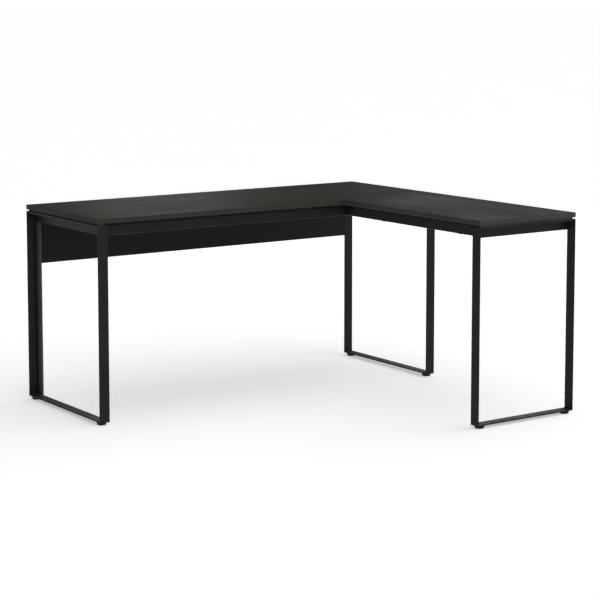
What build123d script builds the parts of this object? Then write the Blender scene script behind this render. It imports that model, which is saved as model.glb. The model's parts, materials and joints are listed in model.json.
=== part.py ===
"""Corner desk: a main desk with a return on its right-hand end.

Two wood tops float above a steel frame on three closed loops of flat bar. +X runs along
the main desk, +Y to its back and +Z up. The origin is on the floor, at the middle of the
whole desk's outline. All sizes are in millimetres.
"""
import os

from build123d import *

os.makedirs("parts", exist_ok=True)

# Outline of the desk
HEIGHT = 750.0
MAIN_LENGTH = 1540.0
MAIN_DEPTH = 565.0
RETURN_WIDTH = 460.0
RETURN_LENGTH = 815.0

# Wood tops, and the open reveal between them and the leg loops
TOP_THICK = 18.0
TOP_ARRIS = 1.0
TOP_UNDERCUT = 2.0
SEAM = 0.5
REVEAL = 6.0
REVEAL_RECESS = 8.0
STRIP_WIDTH = 22.0
BUSH_RADIUS = 10.0

# Leg loops of flat bar
BAR_WIDTH = 40.0
BAR_THICK = 5.0
BAR_ARRIS = 0.8

# Frame under the tops: angle along each loop, rectangular tube between the angles
RAIL_HEIGHT = 38.0
RAIL_WIDTH = 25.0
RAIL_WALL = 1.6
RAIL_CORNER = 2.5
ANGLE_THICK = 3.0
ANGLE_OFFSET = 5.0
ANGLE_TUCK = 1.0
INNER_RAIL_RECESS = 50.0
OUTER_RAIL_RECESS = 45.0
BRACKET_LEG = 40.0
BRACKET_HEIGHT = 32.0
BRACKET_THICK = 3.0
BRACKET_BOLT_REACH = 24.0
JOINING_PLATE = (30.0, 80.0, 3.0)
PLATE_CORNER = 6.0

# Privacy panel of folded sheet, and the cable channel up the left rear post
PANEL_DROP = 229.0
SHEET_THICK = 2.0
PANEL_GAP = 2.0
NOTCH_GAP = 0.3
CHANNEL_WALL = 1.5
CHANNEL_REACH = 32.0
CHANNEL_FLANGE = 18.0
CHANNEL_LIP = 5.0
CHANNEL_END_GAP = 0.3

# Levelling feet
FOOT_HEIGHT = 11.0
FOOT_GAP = 0.2
FOOT_TOP_RADIUS = 19.5
FOOT_BASE_RADIUS = 15.5
FOOT_EDGE = 1.5
FOOT_INSET = 25.0
STUD_RADIUS = 4.0
STUD_SEAT = 6.0
STUD_PROUD = 1.5
STUD_CHAMFER = 0.5
STUD_SOCKET = 5.0
THREAD_GAP = 0.05

# Fasteners: shank radius, head radius, head height, width across the hex socket
M6 = (3.0, 5.25, 3.3, 4.0)
M4 = (2.0, 3.8, 2.2, 2.5)
M2_5 = (1.25, 2.25, 1.4, 1.5)
WOOD_SCREW = (2.0, 4.0, 2.4, 2.5)
CLEARANCE = 0.2
HEAD_ROUND = 0.45
SOCKET_DEPTH = 0.55
INSERT_RADIUS = 5.0
INSERT_LENGTH = 13.0
INSERT_BORE = 14.0
PLATE_BITE = 11.0
PANEL_BITE = 4.0
TIP_SHORT = 1.0

# Distances of the first and last fasteners from the ends of what they hold
MAIN_BOLT_MARGIN = 140.0
RETURN_BOLT_MARGIN = 180.0
LOOP_SCREW_MARGIN = 60.0
PLATE_MARGIN = 125.0
PLATE_SCREW_REACH = (12.0, 30.0)
PANEL_SCREW_MARGIN = 90.0
CHANNEL_SCREW_MARGIN = 60.0
CHANNEL_BITE = 6.0

# Limits of the outline
LEFT = -MAIN_LENGTH / 2
RIGHT = MAIN_LENGTH / 2
BACK = (MAIN_DEPTH + RETURN_LENGTH) / 2
FRONT = BACK - MAIN_DEPTH
RETURN_FRONT = -BACK
RETURN_LEFT = RIGHT - RETURN_WIDTH

# Levels
TOP_UNDER = HEIGHT - TOP_THICK
LOOP_TOP = TOP_UNDER - REVEAL
FRAME_TOP = LOOP_TOP - BAR_THICK
RAIL_BOTTOM = FRAME_TOP - RAIL_HEIGHT
RAIL_MIDDLE = FRAME_TOP - RAIL_HEIGHT / 2
LOOP_BOTTOM = FOOT_HEIGHT
LOOP_HEIGHT = LOOP_TOP - LOOP_BOTTOM
BAR_TOP = LOOP_BOTTOM + BAR_THICK

# The angles' upright legs tuck in behind the rounded inner edges of the posts, and the rails
# run between them
ANGLE_REACH = BAR_WIDTH - ANGLE_TUCK + ANGLE_THICK
LEFT_ANGLE_FACE = LEFT + ANGLE_REACH
RIGHT_ANGLE_FACE = RIGHT - ANGLE_REACH
RETURN_ANGLE_FACE = RETURN_FRONT + ANGLE_REACH
FRONT_RAIL = (FRONT + BAR_WIDTH, FRONT + BAR_WIDTH + RAIL_WIDTH)
PANEL_FACE = BACK - BAR_THICK - SHEET_THICK
REAR_RAIL = (PANEL_FACE - RAIL_WIDTH, PANEL_FACE)
INNER_RAIL = (RETURN_LEFT + INNER_RAIL_RECESS, RETURN_LEFT + INNER_RAIL_RECESS + RAIL_WIDTH)
OUTER_RAIL = (RIGHT - OUTER_RAIL_RECESS - RAIL_WIDTH, RIGHT - OUTER_RAIL_RECESS)

# Turns that point a fastener from its head to its tip; unturned, it points up
TO_BACK = (-90, 0, 0)
TO_FRONT = (90, 0, 0)
TO_RIGHT = (0, 90, 0)
TO_LEFT = (0, -90, 0)


def middle(limits):
    """The point halfway between two limits."""
    return (limits[0] + limits[1]) / 2


def spread(limits, count, margin):
    """Evenly spaced values between two limits, the first and last a margin inside them."""
    first = limits[0] + margin
    step = (limits[1] - limits[0] - 2 * margin) / (count - 1)
    return [first + index * step for index in range(count)]


def save(piece, label):
    """Name a finished piece and write its file."""
    piece.part.label = label
    export_step(piece.part, f"parts/{label}.step")


def block(x, y, z, mode=Mode.ADD):
    """A block between pairs of limits, in the piece being built."""
    with Locations((middle(x), middle(y), middle(z))):
        Box(abs(x[1] - x[0]), abs(y[1] - y[0]), abs(z[1] - z[0]), mode=mode)


def drill(places, radius, depth):
    """Round holes from each place along its own +Z, in the piece being built."""
    with Locations(*places):
        Cylinder(radius, depth, align=(Align.CENTER, Align.CENTER, Align.MIN), mode=Mode.SUBTRACT)


# ---------------------------------------------------------------- fastener places

TOP_BOLT_LENGTH = TOP_UNDER - RAIL_BOTTOM + INSERT_LENGTH - 2 * TIP_SHORT
main_bolts = [
    Location((x, middle(rail), RAIL_BOTTOM))
    for rail in (FRONT_RAIL, REAR_RAIL)
    for x in spread((LEFT, RIGHT), 4, MAIN_BOLT_MARGIN)
]
return_bolts = [
    Location((middle(rail), y, RAIL_BOTTOM))
    for rail in (INNER_RAIL, OUTER_RAIL)
    for y in spread((RETURN_FRONT, FRONT), 2, RETURN_BOLT_MARGIN)
]

LOOP_SCREW_LENGTH = ANGLE_THICK + BAR_THICK - TIP_SHORT
ANGLE_UNDER = FRAME_TOP - ANGLE_THICK
side_screw_places = spread((FRONT, BACK), 4, LOOP_SCREW_MARGIN)
end_screw_places = spread((RETURN_LEFT, RIGHT), 3, LOOP_SCREW_MARGIN)
left_loop_screws = [Location((LEFT + BAR_WIDTH / 2, y, ANGLE_UNDER)) for y in side_screw_places]
right_loop_screws = [Location((RIGHT - BAR_WIDTH / 2, y, ANGLE_UNDER)) for y in side_screw_places]
return_loop_screws = [
    Location((x, RETURN_FRONT + BAR_WIDTH / 2, ANGLE_UNDER)) for x in end_screw_places
]

# Brackets in the frame's corners: corner point, then the way each leg runs
main_corners = [
    (LEFT_ANGLE_FACE, FRONT_RAIL[1], 1, 1),
    (RIGHT_ANGLE_FACE, FRONT_RAIL[1], -1, 1),
    (LEFT_ANGLE_FACE, REAR_RAIL[0], 1, -1),
    (RIGHT_ANGLE_FACE, REAR_RAIL[0], -1, -1),
]
return_corners = [
    (INNER_RAIL[1], RETURN_ANGLE_FACE, 1, 1),
    (OUTER_RAIL[0], RETURN_ANGLE_FACE, -1, 1),
    (INNER_RAIL[1], FRONT_RAIL[0], 1, -1),
    (OUTER_RAIL[0], FRONT_RAIL[0], -1, -1),
]
BRACKET_BOLT_LENGTH = 2 * BRACKET_THICK - CLEARANCE


def bracket_bolt_places(corners):
    """One bolt through each leg of each bracket."""
    places = []
    for x, y, way_x, way_y in corners:
        along_x = (x + way_x * BRACKET_BOLT_REACH, y + way_y * BRACKET_THICK, RAIL_MIDDLE)
        along_y = (x + way_x * BRACKET_THICK, y + way_y * BRACKET_BOLT_REACH, RAIL_MIDDLE)
        places.append(Location(along_x, TO_FRONT if way_y > 0 else TO_BACK))
        places.append(Location(along_y, TO_LEFT if way_x > 0 else TO_RIGHT))
    return places


main_bracket_bolts = bracket_bolt_places(main_corners)
return_bracket_bolts = bracket_bolt_places(return_corners)

PLATE_UNDER = TOP_UNDER - JOINING_PLATE[2]
PLATE_SCREW_LENGTH = JOINING_PLATE[2] + PLATE_BITE
joining_plates = spread((RETURN_LEFT, RIGHT), 2, PLATE_MARGIN)
joining_screws = [
    Location((x, FRONT + side * reach, PLATE_UNDER))
    for x in joining_plates
    for side in (-1, 1)
    for reach in PLATE_SCREW_REACH
]

PANEL_SCREW_LENGTH = SHEET_THICK + RAIL_WALL + PANEL_BITE
panel_screws = [
    Location((x, PANEL_FACE + SHEET_THICK, RAIL_MIDDLE), TO_FRONT)
    for x in spread((LEFT, RIGHT), 6, PANEL_SCREW_MARGIN)
]

# The channel passes the bottom bar's inner edge and ends level with its underside
CHANNEL_LIMITS = (LOOP_BOTTOM, RAIL_BOTTOM - CHANNEL_END_GAP)
CHANNEL_SCREW_LENGTH = CHANNEL_WALL + CHANNEL_BITE
channel_screws = [
    Location((LEFT + BAR_WIDTH + CHANNEL_WALL, BACK - BAR_THICK / 2, z), TO_LEFT)
    for z in spread((BAR_TOP, HEIGHT - PANEL_DROP), 3, CHANNEL_SCREW_MARGIN)
]

BAR_MIDDLE = BAR_WIDTH / 2
feet = {
    "left_rear": (LEFT + BAR_MIDDLE, BACK - FOOT_INSET),
    "left_front": (LEFT + BAR_MIDDLE, FRONT + FOOT_INSET),
    "right_rear": (RIGHT - BAR_MIDDLE, BACK - FOOT_INSET),
    "right_front": (RIGHT - BAR_MIDDLE, FRONT + FOOT_INSET),
    "return_inner": (RETURN_LEFT + FOOT_INSET, RETURN_FRONT + BAR_MIDDLE),
    "return_outer": (RIGHT - FOOT_INSET, RETURN_FRONT + BAR_MIDDLE),
}
stud_holes = [Location((x, y, LOOP_BOTTOM)) for x, y in feet.values()]


# ---------------------------------------------------------------- wood tops

def wood_top(x, y, bolts, label):
    """A solid top with a softened upper edge and an undercut lower edge."""
    with BuildPart() as top:
        block(x, y, (TOP_UNDER, HEIGHT))
        fillet(top.faces().sort_by(Axis.Z)[-1].edges(), TOP_ARRIS)
        chamfer(top.faces().sort_by(Axis.Z)[0].edges(), TOP_UNDERCUT)
        inserts = [Location((place.position.X, place.position.Y, TOP_UNDER)) for place in bolts]
        drill(inserts, INSERT_RADIUS + THREAD_GAP, INSERT_BORE)
        drill(joining_screws, WOOD_SCREW[0] + THREAD_GAP, PLATE_SCREW_LENGTH + TIP_SHORT)
    save(top, label)


wood_top((LEFT, RIGHT), (FRONT, BACK), main_bolts, "main_top")
wood_top((RETURN_LEFT, RIGHT), (RETURN_FRONT, FRONT - SEAM), return_bolts, "return_top")


# ---------------------------------------------------------------- leg loops

def leg_loop(plane, length, screws, extra_holes, label):
    """A closed loop of flat bar. The plane is at its middle, facing the way the bar is wide."""
    with BuildPart() as loop:
        with BuildSketch(plane):
            Rectangle(length, LOOP_HEIGHT)
            Rectangle(length - 2 * BAR_THICK, LOOP_HEIGHT - 2 * BAR_THICK, mode=Mode.SUBTRACT)
        extrude(amount=BAR_WIDTH)
        fillet(loop.faces().filter_by(Axis((0, 0, 0), plane.z_dir)).edges(), BAR_ARRIS)
        drill(stud_holes, STUD_RADIUS + THREAD_GAP, BAR_THICK)
        drill(screws, M6[0] + THREAD_GAP, ANGLE_THICK + BAR_THICK)
        if extra_holes:
            drill(extra_holes, M2_5[0] + THREAD_GAP, CHANNEL_SCREW_LENGTH + CLEARANCE)
    save(loop, label)


LOOP_MIDDLE = LOOP_BOTTOM + LOOP_HEIGHT / 2
left_plane = Plane((LEFT, middle((FRONT, BACK)), LOOP_MIDDLE), x_dir=(0, 1, 0), z_dir=(1, 0, 0))
right_plane = Plane(
    (RIGHT - BAR_WIDTH, middle((FRONT, BACK)), LOOP_MIDDLE), x_dir=(0, 1, 0), z_dir=(1, 0, 0)
)
return_plane = Plane(
    (middle((RETURN_LEFT, RIGHT)), RETURN_FRONT, LOOP_MIDDLE), x_dir=(-1, 0, 0), z_dir=(0, 1, 0)
)
leg_loop(left_plane, MAIN_DEPTH, left_loop_screws, channel_screws, "left_leg_loop")
leg_loop(right_plane, MAIN_DEPTH, right_loop_screws, [], "right_leg_loop")
leg_loop(return_plane, RETURN_WIDTH, return_loop_screws, [], "return_leg_loop")


# ---------------------------------------------------------------- frame under the tops

def end_rail(flat_leg, upright_leg, holes, bolts, label):
    """An angle: a flat leg under the loop's top bar and an upright leg inside the loop."""
    with BuildPart() as angle:
        block(*flat_leg, (ANGLE_UNDER, FRAME_TOP))
        block(*upright_leg, (RAIL_BOTTOM, FRAME_TOP))
        drill(holes, M6[0] + CLEARANCE, ANGLE_THICK)
        drill(bolts, M6[0] + THREAD_GAP, 2 * BRACKET_THICK)
    save(angle, label)


loop_inside = (FRONT + BAR_THICK, BACK - BAR_THICK)
end_rail(
    ((LEFT + ANGLE_OFFSET, LEFT_ANGLE_FACE), loop_inside),
    ((LEFT_ANGLE_FACE - ANGLE_THICK, LEFT_ANGLE_FACE), loop_inside),
    left_loop_screws, main_bracket_bolts, "left_end_rail",
)
end_rail(
    ((RIGHT_ANGLE_FACE, RIGHT - ANGLE_OFFSET), loop_inside),
    ((RIGHT_ANGLE_FACE, RIGHT_ANGLE_FACE + ANGLE_THICK), loop_inside),
    right_loop_screws, main_bracket_bolts, "right_end_rail",
)
return_inside = (RETURN_LEFT + BAR_THICK, RIGHT - BAR_THICK)
end_rail(
    (return_inside, (RETURN_FRONT + ANGLE_OFFSET, RETURN_ANGLE_FACE)),
    (return_inside, (RETURN_ANGLE_FACE - ANGLE_THICK, RETURN_ANGLE_FACE)),
    return_loop_screws, return_bracket_bolts, "return_end_rail",
)


def tube(start, along, length, width, height, holes, label):
    """A rectangular tube from a start point, its top flush with the frame's top."""
    across = Vector(0, 0, 1).cross(Vector(*along))
    plane = Plane(start, x_dir=across, z_dir=along)
    with BuildPart() as rail:
        with BuildSketch(plane):
            RectangleRounded(width, height, RAIL_CORNER)
            RectangleRounded(
                width - 2 * RAIL_WALL, height - 2 * RAIL_WALL, RAIL_CORNER - RAIL_WALL,
                mode=Mode.SUBTRACT,
            )
        extrude(amount=length)
        for places, radius, depth in holes:
            drill(places, radius, depth)
    save(rail, label)


rail_span = RIGHT_ANGLE_FACE - LEFT_ANGLE_FACE
top_bolt_hole = M6[0] + CLEARANCE
bolt_hole = M6[0] + THREAD_GAP
screw_hole = M4[0] + THREAD_GAP
tube(
    (LEFT_ANGLE_FACE, middle(FRONT_RAIL), RAIL_MIDDLE), (1, 0, 0), rail_span, RAIL_WIDTH, RAIL_HEIGHT,
    [
        (main_bolts, top_bolt_hole, RAIL_HEIGHT),
        (main_bracket_bolts + return_bracket_bolts, bolt_hole, 2 * BRACKET_THICK),
    ],
    "front_rail",
)
tube(
    (LEFT_ANGLE_FACE, middle(REAR_RAIL), RAIL_MIDDLE), (1, 0, 0), rail_span, RAIL_WIDTH, RAIL_HEIGHT,
    [
        (main_bolts, top_bolt_hole, RAIL_HEIGHT),
        (main_bracket_bolts, bolt_hole, 2 * BRACKET_THICK),
        (panel_screws, screw_hole, SHEET_THICK + 2 * RAIL_WALL),
    ],
    "rear_rail",
)
return_span = FRONT_RAIL[0] - RETURN_ANGLE_FACE
for limits, label in ((INNER_RAIL, "return_inner_rail"), (OUTER_RAIL, "return_outer_rail")):
    tube(
        (middle(limits), RETURN_ANGLE_FACE, RAIL_MIDDLE), (0, 1, 0), return_span, RAIL_WIDTH, RAIL_HEIGHT,
        [
            (return_bolts, top_bolt_hole, RAIL_HEIGHT),
            (return_bracket_bolts, bolt_hole, 2 * BRACKET_THICK),
        ],
        label,
    )


def corner_bracket(x, y, way_x, way_y, label):
    """A folded plate in a corner of the frame, one leg along each rail."""
    height = (RAIL_MIDDLE - BRACKET_HEIGHT / 2, RAIL_MIDDLE + BRACKET_HEIGHT / 2)
    with BuildPart() as bracket:
        block((x, x + way_x * BRACKET_LEG), (y, y + way_y * BRACKET_THICK), height)
        block((x, x + way_x * BRACKET_THICK), (y, y + way_y * BRACKET_LEG), height)
        drill(bracket_bolt_places([(x, y, way_x, way_y)]), M6[0] + CLEARANCE, BRACKET_THICK)
    save(bracket, label)


main_names = ("front_left", "front_right", "rear_left", "rear_right")
return_names = ("end_left", "end_right", "joint_left", "joint_right")
for corner, name in zip(main_corners, main_names):
    corner_bracket(*corner, f"main_bracket_{name}")
for corner, name in zip(return_corners, return_names):
    corner_bracket(*corner, f"return_bracket_{name}")

for number, x in enumerate(joining_plates, start=1):
    with BuildPart() as plate:
        with BuildSketch(Plane.XY.offset(PLATE_UNDER)):
            with Locations((x, FRONT)):
                RectangleRounded(JOINING_PLATE[0], JOINING_PLATE[1], PLATE_CORNER)
        extrude(amount=JOINING_PLATE[2])
        drill(joining_screws, WOOD_SCREW[0] + CLEARANCE, JOINING_PLATE[2])
    save(plate, f"top_joining_plate_{number}")


# ---------------------------------------------------------------- reveal spacers

def spacer_strip(x, y, label):
    """A strip that holds a top above a loop, set back from the edges so that the gap shows."""
    with BuildPart() as strip:
        block(x, y, (LOOP_TOP, TOP_UNDER))
    save(strip, label)


strip_reach = REVEAL_RECESS + STRIP_WIDTH
strip_y = (FRONT + REVEAL_RECESS, BACK - REVEAL_RECESS)
spacer_strip((LEFT + REVEAL_RECESS, LEFT + strip_reach), strip_y, "left_spacer_strip")
spacer_strip((RIGHT - strip_reach, RIGHT - REVEAL_RECESS), strip_y, "right_spacer_strip")
spacer_strip(
    (RETURN_LEFT + REVEAL_RECESS, RIGHT - REVEAL_RECESS),
    (RETURN_FRONT + REVEAL_RECESS, RETURN_FRONT + strip_reach),
    "return_spacer_strip",
)


def spacer_bushes(bolts, label):
    """Round bushes between the rails and a top, one on each top bolt."""
    places = [Location((place.position.X, place.position.Y, FRAME_TOP)) for place in bolts]
    with BuildPart() as bushes:
        with Locations(*places):
            Cylinder(
                BUSH_RADIUS, TOP_UNDER - FRAME_TOP, align=(Align.CENTER, Align.CENTER, Align.MIN)
            )
        drill(places, M6[0] + CLEARANCE, TOP_UNDER - FRAME_TOP)
    save(bushes, label)


spacer_bushes(main_bolts, "main_spacer_bushes")
spacer_bushes(return_bolts, "return_spacer_bushes")


# ---------------------------------------------------------------- privacy panel and cable channel

with BuildPart() as privacy_panel:
    panel_x = (LEFT + BAR_WIDTH + PANEL_GAP, RIGHT - BAR_WIDTH - PANEL_GAP)
    panel_z = (HEIGHT - PANEL_DROP, FRAME_TOP)
    block(panel_x, (PANEL_FACE, PANEL_FACE + SHEET_THICK), panel_z)
    block(panel_x, (PANEL_FACE, BACK), (panel_z[0], panel_z[0] + SHEET_THICK))
    notch_z = (RAIL_BOTTOM - NOTCH_GAP, FRAME_TOP)
    for outer, angle_face, way in ((LEFT, LEFT_ANGLE_FACE, 1), (RIGHT, RIGHT_ANGLE_FACE, -1)):
        notch_x = (outer, angle_face + way * NOTCH_GAP)
        block(notch_x, (PANEL_FACE, PANEL_FACE + SHEET_THICK), notch_z, Mode.SUBTRACT)
    drill(panel_screws, M4[0] + CLEARANCE, SHEET_THICK)
save(privacy_panel, "privacy_panel")

with BuildPart() as cable_channel:
    web_x = (LEFT + BAR_WIDTH, LEFT + BAR_WIDTH + CHANNEL_WALL)
    front_y = BACK - CHANNEL_REACH
    block(web_x, (front_y, BACK), CHANNEL_LIMITS)
    block((web_x[0], web_x[0] + CHANNEL_FLANGE), (PANEL_FACE - CHANNEL_WALL, PANEL_FACE), CHANNEL_LIMITS)
    block((web_x[0], web_x[0] + CHANNEL_LIP), (front_y, front_y + CHANNEL_WALL), CHANNEL_LIMITS)
    drill(channel_screws, M2_5[0] + CLEARANCE, CHANNEL_WALL)
save(cable_channel, "cable_channel")


# ---------------------------------------------------------------- fasteners

def socket_screw(size, length):
    """A screw with a rounded head below the origin and its shank up +Z."""
    shank, head, head_height, hexagon = size
    with BuildPart() as screw:
        Cylinder(head, head_height, align=(Align.CENTER, Align.CENTER, Align.MAX))
        fillet(screw.edges().sort_by(Axis.Z)[0], HEAD_ROUND * head_height)
        Cylinder(shank, length, align=(Align.CENTER, Align.CENTER, Align.MIN))
        with BuildSketch(Plane.XY.offset(-head_height)):
            RegularPolygon(hexagon / 2, 6, major_radius=False)
        extrude(amount=SOCKET_DEPTH * head_height, mode=Mode.SUBTRACT)
    return screw.part


def fastener_group(fastener, places, label):
    """Copies of one fastener, each a separate solid."""
    with BuildPart() as group:
        with Locations(*places):
            add(fastener)
    save(group, label)


top_bolt = socket_screw(M6, TOP_BOLT_LENGTH)
loop_screw = socket_screw(M6, LOOP_SCREW_LENGTH)
bracket_bolt = socket_screw(M6, BRACKET_BOLT_LENGTH)
fastener_group(top_bolt, main_bolts, "main_top_bolts")
fastener_group(top_bolt, return_bolts, "return_top_bolts")
fastener_group(loop_screw, left_loop_screws, "left_loop_screws")
fastener_group(loop_screw, right_loop_screws, "right_loop_screws")
fastener_group(loop_screw, return_loop_screws, "return_loop_screws")
fastener_group(bracket_bolt, main_bracket_bolts, "main_bracket_bolts")
fastener_group(bracket_bolt, return_bracket_bolts, "return_bracket_bolts")
fastener_group(socket_screw(M4, PANEL_SCREW_LENGTH), panel_screws, "panel_screws")
fastener_group(socket_screw(M2_5, CHANNEL_SCREW_LENGTH), channel_screws, "cable_channel_screws")
fastener_group(socket_screw(WOOD_SCREW, PLATE_SCREW_LENGTH), joining_screws, "joining_plate_screws")

for bolts, label in ((main_bolts, "main_top_inserts"), (return_bolts, "return_top_inserts")):
    insert_places = [Location((place.position.X, place.position.Y, TOP_UNDER)) for place in bolts]
    with BuildPart() as inserts:
        with Locations(*insert_places):
            Cylinder(INSERT_RADIUS, INSERT_LENGTH, align=(Align.CENTER, Align.CENTER, Align.MIN))
        drill(insert_places, M6[0] + THREAD_GAP, INSERT_LENGTH)
    save(inserts, label)


# ---------------------------------------------------------------- levelling feet

for name, (foot_x, foot_y) in feet.items():
    pad_height = FOOT_HEIGHT - FOOT_GAP
    with BuildPart() as pad:
        with BuildSketch(Plane((foot_x, foot_y, 0))):
            Circle(FOOT_BASE_RADIUS)
        with BuildSketch(Plane((foot_x, foot_y, pad_height))):
            Circle(FOOT_TOP_RADIUS)
        loft()
        fillet(pad.edges(), FOOT_EDGE)
        drill([Location((foot_x, foot_y, pad_height - STUD_SEAT))], STUD_RADIUS, STUD_SEAT)
    save(pad, f"foot_pad_{name}")

    with BuildPart() as stud:
        with Locations((foot_x, foot_y, pad_height - STUD_SEAT)):
            Cylinder(
                STUD_RADIUS, BAR_TOP + STUD_PROUD - pad_height + STUD_SEAT,
                align=(Align.CENTER, Align.CENTER, Align.MIN),
            )
        chamfer(stud.edges().sort_by(Axis.Z)[-1], STUD_CHAMFER)
        with BuildSketch(Plane((foot_x, foot_y, BAR_TOP + STUD_PROUD))):
            RegularPolygon(STUD_SOCKET / 2, 6, major_radius=False)
        extrude(amount=-STUD_SOCKET / 2, mode=Mode.SUBTRACT)
    save(stud, f"foot_stud_{name}")
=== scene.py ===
"""Corner desk: materials, fine details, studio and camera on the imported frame.

Metres, +X along the main desk, +Y to its back, +Z up, the origin on the floor.
"""
import json
import math

import bmesh
import bpy
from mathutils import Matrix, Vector


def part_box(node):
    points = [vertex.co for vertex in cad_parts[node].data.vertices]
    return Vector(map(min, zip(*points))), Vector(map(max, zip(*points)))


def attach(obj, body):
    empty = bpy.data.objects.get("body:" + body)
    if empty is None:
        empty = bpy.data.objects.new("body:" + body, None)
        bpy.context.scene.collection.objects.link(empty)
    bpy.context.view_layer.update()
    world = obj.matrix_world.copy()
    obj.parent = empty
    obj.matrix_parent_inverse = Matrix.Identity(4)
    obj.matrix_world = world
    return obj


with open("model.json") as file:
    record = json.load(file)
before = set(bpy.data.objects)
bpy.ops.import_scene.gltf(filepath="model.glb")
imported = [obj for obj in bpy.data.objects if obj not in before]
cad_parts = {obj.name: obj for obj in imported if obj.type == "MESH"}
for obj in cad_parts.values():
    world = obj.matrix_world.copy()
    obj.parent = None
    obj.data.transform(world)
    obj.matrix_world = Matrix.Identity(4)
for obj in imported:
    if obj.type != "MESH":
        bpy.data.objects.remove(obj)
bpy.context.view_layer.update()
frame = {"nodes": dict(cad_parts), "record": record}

# Camera
LENS_MM = 109.6
SENSOR_MM = 36.0
CAMERA_PLACE = (-3.861, -5.567, 1.538)
CAMERA_TURN = math.radians(34.87)
CAMERA_TILT = math.radians(6.12)
CAMERA_SHIFT = -0.18
VIEW_END = 200.0

# Studio: a white backdrop, surroundings that dim towards the back, a broad soft source above
# the right front, and two behind the desk that the tops reflect
FLOOR_SIZE = 400.0
FLOOR_GLOW = 0.42
BACKDROP_LIGHT = 1.02
FRONT_LIGHT = 0.13
BACK_LIGHT = 0.02
OVERHEAD_LIGHT = 2.3
OVERHEAD_SPREAD = math.radians(116)
OVERHEAD_FROM = (3.0, -3.2, 5.0)

# Each soft light behind the desk: its energy, its size, its place and the point it faces
LEFT_GLOW = (11.0, (0.9, 1.6), (2.76, 5.66, 1.6), (-0.2, 0.4, 0.75))
RIGHT_GLOW = (13.0, (1.8, 1.6), (4.78, 4.15, 1.6), (0.54, -0.2, 0.75))

# Wood
WOOD_TONE = (0.0336, 0.0328, 0.0275)
WOOD_SPECULAR = 0.07
WOOD_SPECULAR_TINT = (1.0, 1.0, 0.90, 1.0)
EDGE_HUE = (1.0, 0.965, 0.87)
# Tones of the tops' upright edges, set lighter than the wood's face as painted light on the edges; the
# return's is lighter still, painted light on its end edge
MAIN_EDGE_TONE_WITH_PAINTED_LIGHT = 0.032
RETURN_EDGE_TONE_WITH_PAINTED_LIGHT = 0.049

# Powder coat
FRAME_COAT = 0.0114
SHEET_COAT = 0.0078
# The cable channel's coat is far lighter than the frame's: painted light standing in for the light
# that its black face would catch
CHANNEL_COAT_PAINTED_LIGHT = 0.066
COAT_DARK = (0.82, 0.82, 0.82)
COAT_LIGHT = (1.16, 1.16, 1.18)
COAT_SPECULAR = 0.11
COAT_SHEEN = 0.10
COAT_SHEEN_ROUGHNESS = 0.35

# Plastics
BUSH_TONE = 0.006
# The spacer strips' grey, far lighter than the other black plastics, is painted light in the shaded
# reveal under the tops
STRIP_PAINTED_LIGHT_TONE = 0.085
FOOT_TONE = 0.008
PLASTIC_SPECULAR = 0.15

# Weld beads in the loops' bottom corners, and the bar that they sit on
WELD_LEG = 0.0025
WELD_SHORT = 0.001
BEAD_STEPS = 6
BAR_THICK = 0.005


# ---------------------------------------------------------------- node helpers

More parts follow.
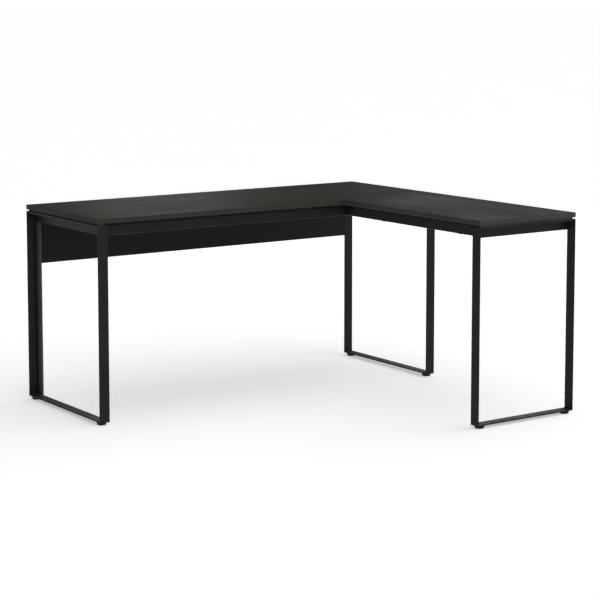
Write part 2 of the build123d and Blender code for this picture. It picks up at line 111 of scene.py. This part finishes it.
class Nodes:
    """A material's node tree, with short ways to add and join nodes."""

    def __init__(self, name):
        self.material = bpy.data.materials.new(name)
        self.material.use_nodes = True
        self.tree = self.material.node_tree
        self.shader = self.tree.nodes["Principled BSDF"]

    def add(self, kind, **settings):
        node = self.tree.nodes.new(kind)
        for key, value in settings.items():
            setattr(node, key, value)
        return node

    def join(self, source, target):
        self.tree.links.new(source, target)

    def place(self, scale):
        """Object coordinates, stretched by a scale on each axis."""
        source = self.add("ShaderNodeTexCoord")
        mapping = self.add("ShaderNodeMapping")
        mapping.inputs["Scale"].default_value = scale
        self.join(source.outputs["Object"], mapping.inputs["Vector"])
        return mapping.outputs["Vector"]

    def noise(self, vector, scale, detail, roughness=0.5, distortion=0.0):
        node = self.add("ShaderNodeTexNoise")
        node.inputs["Scale"].default_value = scale
        node.inputs["Detail"].default_value = detail
        node.inputs["Roughness"].default_value = roughness
        node.inputs["Distortion"].default_value = distortion
        self.join(vector, node.inputs["Vector"])
        return node.outputs["Fac"]

    def remap(self, value, low, high, to_low, to_high):
        node = self.add("ShaderNodeMapRange")
        node.inputs["From Min"].default_value = low
        node.inputs["From Max"].default_value = high
        node.inputs["To Min"].default_value = to_low
        node.inputs["To Max"].default_value = to_high
        self.join(value, node.inputs["Value"])
        return node.outputs["Result"]

    def ramp(self, value, stops):
        node = self.add("ShaderNodeValToRGB")
        elements = node.color_ramp.elements
        elements[0].position, elements[0].color = stops[0][0], (*stops[0][1], 1)
        elements[1].position, elements[1].color = stops[-1][0], (*stops[-1][1], 1)
        for position, colour in stops[1:-1]:
            elements.new(position).color = (*colour, 1)
        self.join(value, node.inputs["Fac"])
        return node.outputs["Color"]

    def blend(self, first, second, mask):
        """The first colour where the mask is 0, the second where it is 1."""
        node = self.add("ShaderNodeMix", data_type="RGBA")
        self.join(mask, node.inputs["Factor"])
        self.join(first, node.inputs["A"])
        self.join(second, node.inputs["B"])
        return node.outputs["Result"]

    def multiply(self, first, second):
        node = self.add("ShaderNodeMix", data_type="RGBA", blend_type="MULTIPLY")
        node.inputs["Factor"].default_value = 1.0
        self.join(first, node.inputs["A"])
        self.join(second, node.inputs["B"])
        return node.outputs["Result"]

    def add_up(self, first, second):
        node = self.add("ShaderNodeMath", operation="ADD")
        self.join(first, node.inputs[0])
        self.join(second, node.inputs[1])
        return node.outputs["Value"]

    def flat_faces(self):
        """A mask: 1 on faces that look up or down, 0 on upright ones."""
        source = self.add("ShaderNodeTexCoord")
        parts = self.add("ShaderNodeSeparateXYZ")
        size = self.add("ShaderNodeMath", operation="ABSOLUTE")
        self.join(source.outputs["Normal"], parts.inputs["Vector"])
        self.join(parts.outputs["Z"], size.inputs[0])
        return self.remap(size.outputs["Value"], 0.5, 0.8, 0.0, 1.0)

    def bump(self, height, distance, strength):
        node = self.add("ShaderNodeBump")
        node.inputs["Distance"].default_value = distance
        node.inputs["Strength"].default_value = strength
        self.join(height, node.inputs["Height"])
        self.join(node.outputs["Normal"], self.shader.inputs["Normal"])

    def colour(self, socket):
        self.join(socket, self.shader.inputs["Base Color"])

    def rough(self, socket):
        self.join(socket, self.shader.inputs["Roughness"])

    def set(self, name, value):
        """Set one of the shader's own inputs to a constant."""
        self.shader.inputs[name].default_value = value


# ---------------------------------------------------------------- materials

def shade(colour, factor):
    """A colour made darker or lighter."""
    return tuple(factor * part for part in colour)


def grey(tone):
    return (tone, tone, tone)


def grain_scale(along, fine, long):
    """Scale of a grain that is fine across the board and long along one axis."""
    return tuple(long if axis == along else fine for axis in "xyz")


def ebonised_wood(name, along, edge_tone_with_painted_light):
    """Dark stained open-grain wood: staves of slightly different tone, slow bands, fine fibres
    and short pores, all running along one axis, and a plainer band on its upright edges whose
    tone is set lighter than the face as painted light on those edges.
    """
    nodes = Nodes(name)
    staves = nodes.noise(nodes.place(grain_scale(along, 9, 0.5)), 1.0, 1, 0.4)
    bands = nodes.noise(nodes.place(grain_scale(along, 34, 1.1)), 1.0, 5, 0.6, 0.45)
    fibres = nodes.noise(nodes.place(grain_scale(along, 420, 5)), 1.0, 3, 0.6)
    pores = nodes.noise(nodes.place(grain_scale(along, 900, 38)), 1.0, 2, 0.5)
    clouds = nodes.noise(nodes.place((1.7, 1.7, 1.7)), 1.0, 2, 0.5)

    band_stops = [(0.3, shade(WOOD_TONE, 0.783)), (0.5, WOOD_TONE), (0.7, shade(WOOD_TONE, 1.28))]
    band_colour = nodes.ramp(bands, band_stops)
    stave_colour = nodes.ramp(staves, [(0.35, grey(0.88)), (0.65, (1.12, 1.12, 1.11))])
    fibre_colour = nodes.ramp(fibres, [(0.35, grey(0.55)), (0.65, (1.35, 1.33, 1.28))])
    pore_mask = nodes.remap(pores, 0.28, 0.40, 0.0, 1.0)
    pore_colour = nodes.ramp(pore_mask, [(0.0, grey(0.45)), (1.0, grey(1.0))])
    grain = nodes.multiply(band_colour, fibre_colour)
    grain = nodes.multiply(grain, stave_colour)
    face = nodes.multiply(grain, pore_colour)
    # Upright edges: a plainer band, its tone lighter than the face as painted light
    painted_light_edge_stops = [(0.35, shade(EDGE_HUE, 0.86 * edge_tone_with_painted_light)), (0.65, shade(EDGE_HUE, 1.14 * edge_tone_with_painted_light))]
    nodes.colour(nodes.blend(nodes.ramp(fibres, painted_light_edge_stops), face, nodes.flat_faces()))

    band_rough = nodes.remap(bands, 0.3, 0.7, 0.57, 0.49)
    cloud_rough = nodes.remap(clouds, 0.35, 0.65, 0.07, -0.05)
    nodes.rough(nodes.add_up(band_rough, cloud_rough))
    relief = nodes.add_up(nodes.remap(fibres, 0, 1, 0, 0.4), pore_mask)
    nodes.bump(nodes.add_up(relief, nodes.remap(bands, 0, 1, 0, 0.8)), 0.00009, 0.8)
    nodes.set("Specular IOR Level", WOOD_SPECULAR)
    nodes.set("Specular Tint", WOOD_SPECULAR_TINT)
    return nodes.material


def powder_coat(name, tone):
    """Satin powder coat: a fine orange peel, slow changes of tone and gloss, rubbed patches and
    a faint sheen.
    """
    nodes = Nodes(name)
    place = nodes.place((1, 1, 1))
    peel = nodes.noise(place, 1500, 2, 0.5)
    drift = nodes.noise(place, 7, 3, 0.5)
    rubs = nodes.noise(place, 60, 4, 0.65)
    nodes.colour(nodes.ramp(drift, [(0.3, shade(COAT_DARK, tone)), (0.7, shade(COAT_LIGHT, tone))]))
    drift_rough = nodes.remap(drift, 0.3, 0.7, 0.40, 0.48)
    rub_rough = nodes.remap(rubs, 0.3, 0.7, -0.03, 0.04)
    nodes.rough(nodes.add_up(drift_rough, rub_rough))
    nodes.bump(peel, 0.00003, 0.5)
    nodes.set("Specular IOR Level", COAT_SPECULAR)
    nodes.set("Sheen Weight", COAT_SHEEN)
    nodes.set("Sheen Roughness", COAT_SHEEN_ROUGHNESS)
    return nodes.material


def moulded(name, tone, roughness):
    """Moulded plastic with a fine texture."""
    nodes = Nodes(name)
    place = nodes.place((1, 1, 1))
    texture = nodes.noise(place, 2600, 2, 0.5)
    drift = nodes.noise(place, 90, 3, 0.5)
    nodes.colour(nodes.ramp(drift, [(0.3, grey(0.8 * tone)), (0.7, grey(1.2 * tone))]))
    nodes.rough(nodes.remap(texture, 0.3, 0.7, roughness - 0.05, roughness + 0.05))
    nodes.bump(texture, 0.00004, 0.6)
    nodes.set("Specular IOR Level", PLASTIC_SPECULAR)
    return nodes.material


def turned_metal(name, dark, light, roughness):
    """Bare or blackened metal with fine turning marks."""
    nodes = Nodes(name)
    marks = nodes.noise(nodes.place((60, 60, 2400)), 1.0, 2, 0.5)
    nodes.colour(nodes.ramp(marks, [(0.3, dark), (0.7, light)]))
    nodes.rough(nodes.remap(marks, 0.3, 0.7, roughness - 0.06, roughness + 0.08))
    nodes.bump(marks, 0.00002, 0.4)
    nodes.set("Metallic", 1.0)
    return nodes.material


def floor_surface():
    """A pale seamless floor, lit a little from within so that the shadows on it stay soft."""
    nodes = Nodes("pale_floor")
    drift = nodes.noise(nodes.place((1, 1, 1)), 0.6, 3, 0.5)
    nodes.colour(nodes.ramp(drift, [(0.3, grey(0.945)), (0.7, grey(0.955))]))
    nodes.set("Roughness", 0.8)
    nodes.set("Specular IOR Level", 0.2)
    nodes.set("Emission Color", (1.0, 1.0, 1.0, 1.0))
    nodes.set("Emission Strength", FLOOR_GLOW)
    return nodes.material


STEEL = powder_coat("black_powder_coat", FRAME_COAT)
# Grey strips: painted light in the reveal under the tops
PAINTED_LIGHT_STRIP = moulded("strip_plastic_painted_light", STRIP_PAINTED_LIGHT_TONE, 0.65)

# By material slot
MATERIALS = {
    "black_steel": STEEL,
    "black_sheet": powder_coat("black_sheet_coat", SHEET_COAT),
    "black_fastener": turned_metal("black_oxide", grey(0.012), grey(0.024), 0.45),
    "insert_brass": turned_metal("plain_brass", (0.60, 0.44, 0.18), (0.78, 0.60, 0.30), 0.32),
    "spacer_plastic": moulded("spacer_plastic_black", BUSH_TONE, 0.65),
    "foot_plastic": moulded("foot_plastic_black", FOOT_TONE, 0.52),
    "stud_steel": turned_metal("blackened_stud", grey(0.02), grey(0.05), 0.45),
}

# By node, where one looks different from the rest of its slot
OWN_MATERIALS = {
    # The channel's lighter coat is painted light
    "cable_channel": powder_coat("channel_coat_painted_light", CHANNEL_COAT_PAINTED_LIGHT),
    # The strips' grey is painted light in the reveal
    "left_spacer_strip": PAINTED_LIGHT_STRIP,
    "right_spacer_strip": PAINTED_LIGHT_STRIP,
    "return_spacer_strip": PAINTED_LIGHT_STRIP,
    "main_top": ebonised_wood("ebonised_wood_main", "x", MAIN_EDGE_TONE_WITH_PAINTED_LIGHT),
    "return_top": ebonised_wood("ebonised_wood_return", "y", RETURN_EDGE_TONE_WITH_PAINTED_LIGHT),
}


def dress_frame():
    """Give every node of the frame its own material, or its slot's."""
    slots = {entry["node"]: entry["material_slot"] for entry in frame["record"]["subparts"]}
    for name, node in frame["nodes"].items():
        material = OWN_MATERIALS.get(name) or MATERIALS[slots[name]]
        node.data.materials.clear()
        node.data.materials.append(material)


# ---------------------------------------------------------------- details

def mesh_piece(name, build, material, body):
    """A new mesh piece, built by a function in a fresh bmesh, riding on a body."""
    mesh = bmesh.new()
    build(mesh)
    data = bpy.data.meshes.new(name)
    mesh.to_mesh(data)
    mesh.free()
    piece = bpy.data.objects.new(name, data)
    bpy.context.scene.collection.objects.link(piece)
    data.materials.append(material)
    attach(piece, body)


def fillet_bead(mesh, corner, ends, sides):
    """A hollow-faced bead in an inside corner, running between two ends.

    Each end is a step along the bead, and the two sides point along the bars that it joins.
    """
    section = [Vector((0, 0, 0))]
    for step in range(BEAD_STEPS + 1):
        angle = math.pi / 2 * step / BEAD_STEPS
        section.append(
            sides[0] * WELD_LEG * (1 - math.sin(angle)) + sides[1] * WELD_LEG * (1 - math.cos(angle))
        )
    rings = [[mesh.verts.new(corner + end + point) for point in section] for end in ends]
    count = len(section)
    for index in range(count):
        after = (index + 1) % count
        mesh.faces.new((rings[0][index], rings[0][after], rings[1][after], rings[1][index]))
    mesh.faces.new(rings[0])
    mesh.faces.new(rings[1])
    bmesh.ops.recalc_face_normals(mesh, faces=mesh.faces)


def add_corner_welds():
    """A bead in each inside corner of each loop. A loop's bar is wide along one axis."""
    for loop, wide in (("left_leg_loop", 0), ("right_leg_loop", 0), ("return_leg_loop", 1)):
        low, high = (Vector(corner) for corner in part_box(loop))
        run = 1 - wide
        across = Vector([float(axis == wide) for axis in range(3)])
        ends = (across * WELD_SHORT, across * (high[wide] - low[wide] - WELD_SHORT))
        for side in (1, -1):
            corner = low.copy()
            corner[run] = low[run] + BAR_THICK if side > 0 else high[run] - BAR_THICK
            corner[2] = low[2] + BAR_THICK
            sides = (Vector([float(side * (axis == run)) for axis in range(3)]), Vector((0, 0, 1)))
            mesh_piece(
                f"{loop}_weld_{'near' if side > 0 else 'far'}",
                lambda mesh: fillet_bead(mesh, corner, ends, sides),
                STEEL, "frame",
            )


# ---------------------------------------------------------------- studio and camera

def add_floor():
    """One large flat sheet under the desk."""
    mesh = bmesh.new()
    bmesh.ops.create_grid(mesh, x_segments=1, y_segments=1, size=FLOOR_SIZE / 2)
    data = bpy.data.meshes.new("floor")
    mesh.to_mesh(data)
    mesh.free()
    floor = bpy.data.objects.new("floor", data)
    bpy.context.scene.collection.objects.link(floor)
    data.materials.append(floor_surface())


def aim(lamp, place, target):
    """Put a lamp in place and point it at a target."""
    lamp.location = place
    direction = Vector(target) - Vector(place)
    lamp.rotation_euler = direction.to_track_quat("-Z", "Y").to_euler()
    bpy.context.scene.collection.objects.link(lamp)


def add_softbox(name, energy, size, place, target):
    """A rectangular soft light that lights and reflects, and isn't seen itself."""
    light = bpy.data.lights.new(name, "AREA")
    light.shape = "RECTANGLE"
    light.size, light.size_y = size
    light.energy = energy
    softbox = bpy.data.objects.new(name, light)
    softbox.visible_camera = False
    aim(softbox, place, target)


def add_lights():
    """A wide soft sun from above the right front, and the two lights behind the desk."""
    overhead = bpy.data.lights.new("overhead", "SUN")
    overhead.energy = OVERHEAD_LIGHT
    overhead.angle = OVERHEAD_SPREAD
    aim(bpy.data.objects.new("overhead", overhead), OVERHEAD_FROM, (0.0, 0.0, 0.0))
    add_softbox("left_glow", *LEFT_GLOW)
    add_softbox("right_glow", *RIGHT_GLOW)


def add_world():
    """White where the camera looks past the desk. What lights the desk is dimmer, and dimmest
    at its back.
    """
    world = bpy.data.worlds.new("studio")
    world.use_nodes = True
    tree = world.node_tree
    surround = tree.nodes["Background"]
    surround.inputs["Color"].default_value = (1, 1, 1, 1)
    direction = tree.nodes.new("ShaderNodeTexCoord")
    parts = tree.nodes.new("ShaderNodeSeparateXYZ")
    strength = tree.nodes.new("ShaderNodeMapRange")
    strength.inputs["From Min"].default_value = -1.0
    strength.inputs["To Min"].default_value = FRONT_LIGHT
    strength.inputs["To Max"].default_value = BACK_LIGHT
    tree.links.new(direction.outputs["Generated"], parts.inputs["Vector"])
    tree.links.new(parts.outputs["Y"], strength.inputs["Value"])
    tree.links.new(strength.outputs["Result"], surround.inputs["Strength"])
    backdrop = tree.nodes.new("ShaderNodeBackground")
    backdrop.inputs["Color"].default_value = (1, 1, 1, 1)
    backdrop.inputs["Strength"].default_value = BACKDROP_LIGHT
    path = tree.nodes.new("ShaderNodeLightPath")
    mix = tree.nodes.new("ShaderNodeMixShader")
    tree.links.new(path.outputs["Is Camera Ray"], mix.inputs["Fac"])
    tree.links.new(surround.outputs["Background"], mix.inputs[1])
    tree.links.new(backdrop.outputs["Background"], mix.inputs[2])
    tree.links.new(mix.outputs["Shader"], tree.nodes["World Output"].inputs["Surface"])
    bpy.context.scene.world = world


def add_studio():
    """Plain display colours, the surroundings and the lights."""
    bpy.context.scene.view_settings.view_transform = "Standard"
    add_world()
    add_lights()


def add_camera():
    """A long lens at the left front. Its shift lets it tilt less, so that the posts stay nearly
    upright in the picture.
    """
    data = bpy.data.cameras.new("camera")
    data.lens = LENS_MM
    data.sensor_width = SENSOR_MM
    data.shift_y = CAMERA_SHIFT
    data.clip_end = VIEW_END
    camera = bpy.data.objects.new("camera", data)
    camera.location = CAMERA_PLACE
    camera.rotation_euler = (math.pi / 2 - CAMERA_TILT, 0, -CAMERA_TURN)
    bpy.context.scene.collection.objects.link(camera)
    bpy.context.scene.camera = camera


dress_frame()
add_corner_welds()
add_floor()
add_studio()
add_camera()
